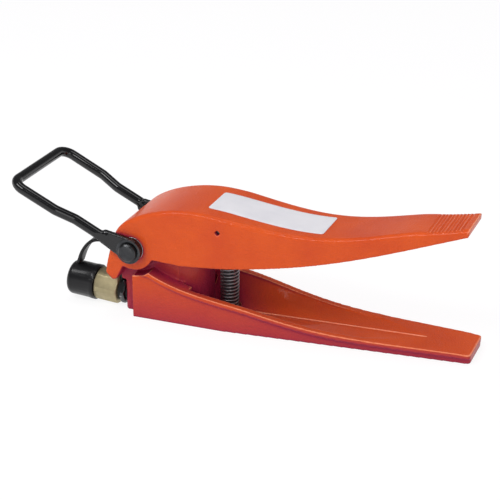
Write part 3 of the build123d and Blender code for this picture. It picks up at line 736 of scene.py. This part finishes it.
@dataclass
class CapStrap:
    """Moulded strap that ties the dust cap to the ring round the adapter's neck."""

    shop: Workshop
    middle_y: float = -15.0 * MM
    width: float = 15.0 * MM
    thick: float = 3.4 * MM
    ring_radius: float = 13.4 * MM
    ring_hole: float = 8.6 * MM
    ring_width: float = 2.5 * MM
    ring_place: tuple[float, float] = (-25.2, 17.25)
    tilt: float = 4.5
    route: tuple[tuple[float, float], ...] = (
        (-23.9, 29.4),
        (-23.8, 42.0),
        (-28.0, 56.0),
        (-37.0, 67.0),
        (-49.0, 71.4),
        (-60.5, 67.0),
        (-69.5, 56.0),
        (-75.6, 41.0),
    )
    steps: int = 10

    def line(self) -> list[Vector]:
        """Runs a smooth curve through the route.

        Returns:
            Points of the strap's middle line.
        """
        spots = [Vector((x * MM, self.middle_y, z * MM)) for x, z in self.route]
        ends = [spots[0] * 2 - spots[1], *spots, spots[-1] * 2 - spots[-2]]
        line = []
        for before, first, second, after in zip(ends, ends[1:], ends[2:], ends[3:]):
            for step in range(self.steps):
                t = step / self.steps
                bend = (before * -1 + first * 3 - second * 3 + after) * t**3
                bend += (before * 2 - first * 5 + second * 4 - after) * t**2
                line.append(0.5 * (bend + (second - before) * t + first * 2))
        line.append(spots[-1])
        return line

    def section(self) -> list[tuple[float, float]]:
        """Works out the strap's rounded section as pairs of width and thickness.

        Returns:
            Points round the section.
        """
        corner = self.thick * 0.42
        points = []
        for turn, (side, up) in enumerate(((1, 1), (-1, 1), (-1, -1), (1, -1))):
            for step in range(5):
                angle = pi / 2 * (turn + step / 4)
                across = side * (self.width / 2 - corner) + corner * cos(angle)
                out = up * (self.thick / 2 - corner) + corner * sin(angle)
                points.append((across, out))
        return points

    def fill(self, shape: bmesh.types.BMesh) -> None:
        """Adds the strap's band.

        Args:
            shape: The bmesh to fill.
        """
        line = self.line()
        across = Vector((0.0, 1.0, 0.0))
        rings = []
        for index, spot in enumerate(line):
            ahead = (line[min(index + 1, len(line) - 1)] - line[max(index - 1, 0)]).normalized()
            out = ahead.cross(across)
            rings.append([shape.verts.new(spot + across * a + out * b) for a, b in self.section()])
        for first, second in zip(rings, rings[1:]):
            for index, vertex in enumerate(first):
                following = (index + 1) % len(first)
                shape.faces.new((vertex, first[following], second[following], second[index]))
        shape.faces.new(rings[0])
        shape.faces.new(rings[-1])
        self.fill_ring(shape)

    def fill_ring(self, shape: bmesh.types.BMesh) -> None:
        """Adds the rounded ring round the adapter's neck.

        Args:
            shape: The bmesh to fill.
        """
        centre = Vector((self.ring_place[0] * MM, self.middle_y, self.ring_place[1] * MM))
        axis = Vector((-cos(radians(self.tilt)), 0.0, sin(radians(self.tilt))))
        side = Vector((0.0, 1.0, 0.0))
        up = axis.cross(side)
        round_off = 0.7 * MM
        half = self.ring_width / 2
        outline = (
            (self.ring_hole, -half),
            (self.ring_radius - round_off, -half),
            (self.ring_radius, -half + round_off),
            (self.ring_radius, half - round_off),
            (self.ring_radius - round_off, half),
            (self.ring_hole, half),
        )
        count = 64
        rings = []
        for turn in range(count):
            out = cos(tau * turn / count) * side + sin(tau * turn / count) * up
            rings.append([shape.verts.new(centre + out * radius + axis * along) for radius, along in outline])
        for index, first in enumerate(rings):
            second = rings[(index + 1) % count]
            for corner in range(len(outline)):
                following = (corner + 1) % len(outline)
                shape.faces.new((first[corner], first[following], second[following], second[corner]))

    def build(self) -> None:
        """Makes the strap with its ring round the adapter's neck."""
        piece = make_mesh("cap_strap_band", self.fill)
        self.shop.finish(piece, "black_strap_rubber")
        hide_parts("cap_strap")
        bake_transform(piece)
        LOG.info("piece %s blends between the neck and the cap", piece.name)


@dataclass
class OilInlet:
    """Adapter, coupler half and dust cap."""

    shop: Workshop

    def build(self) -> None:
        """Dresses the CAD pieces."""
        self.shop.dress("inlet_adapter", 0.35 * MM)
        self.shop.dress("coupler_body", 0.4 * MM)
        for node in ("inlet_seal", "coupler_poppet", "poppet_spring", "dust_cap"):
            self.shop.dress(node, 0.25 * MM)


@dataclass
class Label:
    """The bare label plate on the upper jaw."""

    shop: Workshop

    def build(self) -> None:
        """Dresses the CAD piece."""
        self.shop.dress("label_plate", 0.12 * MM)


@dataclass
class Studio:
    """Floor, light and the camera at the photograph's angle."""

    camera_place: Point = (0.6589, -1.3959, 0.7159)
    camera_ahead: Point = (-0.3341, 0.8570, -0.3923)
    lens: float = 113.04
    sensor: float = 36.0
    floor_half: float = 6.0
    floor_tone: Colour = (0.90, 0.90, 0.90)
    backdrop_share: float = 0.8
    backdrop_strength: float = 1.08
    fill: float = 0.56
    fill_tint: Colour = (0.98, 0.93, 1.0)
    overhead: float = 0.16

    def camera(self) -> None:
        """Makes the camera."""
        data = bpy.data.cameras.new("camera")
        data.lens = self.lens
        data.sensor_width = self.sensor
        data.clip_end = 50.0
        camera = bpy.data.objects.new("camera", data)
        bpy.context.scene.collection.objects.link(camera)
        camera.location = self.camera_place
        camera.rotation_euler = Vector(self.camera_ahead).to_track_quat("-Z", "Y").to_euler()
        bpy.context.scene.camera = camera

    def lamp(self, name: str, place: Point, length: float, width: float, power: float) -> None:
        """Makes one soft lamp that faces the spreader, its long side level.

        Args:
            name: The lamp's name.
            place: Where it hangs, in metres.
            length: Its level side in metres.
            width: Its other side in metres.
            power: Its power in watts.
        """
        data = bpy.data.lights.new(name, "AREA")
        data.shape = "RECTANGLE"
        data.size = length
        data.size_y = width
        data.energy = power
        lamp = bpy.data.objects.new(name, data)
        bpy.context.scene.collection.objects.link(lamp)
        lamp.location = place
        aim = Vector((0.12, 0.0, 0.06)) - Vector(place)
        lamp.rotation_euler = aim.to_track_quat("-Z", "Y").to_euler()

    def floor(self) -> None:
        """Makes the pale floor, which shows white to the camera but keeps the shadow."""
        half = self.floor_half

        def fill(shape: bmesh.types.BMesh) -> None:
            """Adds one square face."""
            corners = ((-half, -half), (half, -half), (half, half), (-half, half))
            shape.faces.new([shape.verts.new((x, y, 0.0)) for x, y in corners])

        floor = make_mesh("floor", fill)
        material, tree, shader = start_material("pale_floor")
        shader.inputs["Base Color"].default_value = (*self.floor_tone, 1.0)
        shader.inputs["Roughness"].default_value = 0.9
        shader.inputs["Specular IOR Level"].default_value = 0.1
        backdrop = tree.add("ShaderNodeEmission", Color=(1.0, 1.0, 1.0), Strength=self.backdrop_strength)
        choose = tree.add("ShaderNodeMixShader")
        tree.feed(choose, 0, tree.math("MULTIPLY", self.seen(tree), self.backdrop_share))
        tree.feed(choose, 1, shader.outputs[0])
        tree.feed(choose, 2, backdrop.outputs[0])
        out = next(node for node in material.node_tree.nodes if node.type == "OUTPUT_MATERIAL")
        tree.feed(out, "Surface", choose.outputs[0])
        floor.data.materials.append(material)

    def seen(self, tree: Tree) -> Any:
        """Finds whether the backdrop is looked at, straight or in a reflection.

        Args:
            tree: The tree to work in.

        Returns:
            An output that is 1 for camera, glossy and transmission rays.
        """
        path = tree.add("ShaderNodeLightPath")
        seen = tree.math("MAXIMUM", path.outputs["Is Camera Ray"], path.outputs["Is Glossy Ray"])
        return tree.math("MAXIMUM", seen, path.outputs["Is Transmission Ray"])

    def world(self) -> None:
        """Makes a soft surround whose backdrop is white at the horizon and greyer overhead."""
        world = bpy.data.worlds.new("surround")
        world.use_nodes = True
        world.node_tree.nodes.clear()
        tree = Tree(world.node_tree)
        soft = tree.add("ShaderNodeBackground", Color=self.fill_tint, Strength=self.fill)
        height = tree.add("ShaderNodeSeparateXYZ", Vector=tree.add("ShaderNodeTexCoord").outputs["Generated"])
        fade = tree.spread(height.outputs["Z"], 0.02, 0.3, 1.0, self.overhead)
        path = tree.add("ShaderNodeLightPath")
        bright = tree.math("MAXIMUM", path.outputs["Is Camera Ray"], fade)
        white = tree.add("ShaderNodeBackground", Color=(1.0, 1.0, 1.0), Strength=bright)
        choose = tree.add("ShaderNodeMixShader")
        tree.feed(choose, 0, self.seen(tree))
        tree.feed(choose, 1, soft.outputs[0])
        tree.feed(choose, 2, white.outputs[0])
        tree.feed(tree.add("ShaderNodeOutputWorld"), "Surface", choose.outputs[0])
        bpy.context.scene.world = world

    def build(self) -> None:
        """Makes the whole studio."""
        bpy.context.scene.view_settings.view_transform = "Standard"
        self.camera()
        self.world()
        self.floor()
        self.lamp("key_lamp", (-0.55, -1.0, 1.5), 1.3, 0.35, 12.5)
        self.lamp("front_lamp", (0.9, -1.7, 0.8), 0.9, 0.9, 5.0)
        self.lamp("top_lamp", (0.2, 0.2, 1.9), 1.2, 0.5, 5.0)


def main() -> None:
    """Builds the studio and every sub-assembly."""
    logging.basicConfig(level=logging.INFO, format="%(message)s")
    Studio().build()
    shop = Workshop()
    for assembly in (Jaws, HingeStack, CarryingHandle, CylinderParts, ReturnSpring, OilInlet, CapStrap, Label):
        assembly(shop).build()


if __name__ == "__main__":
    main()
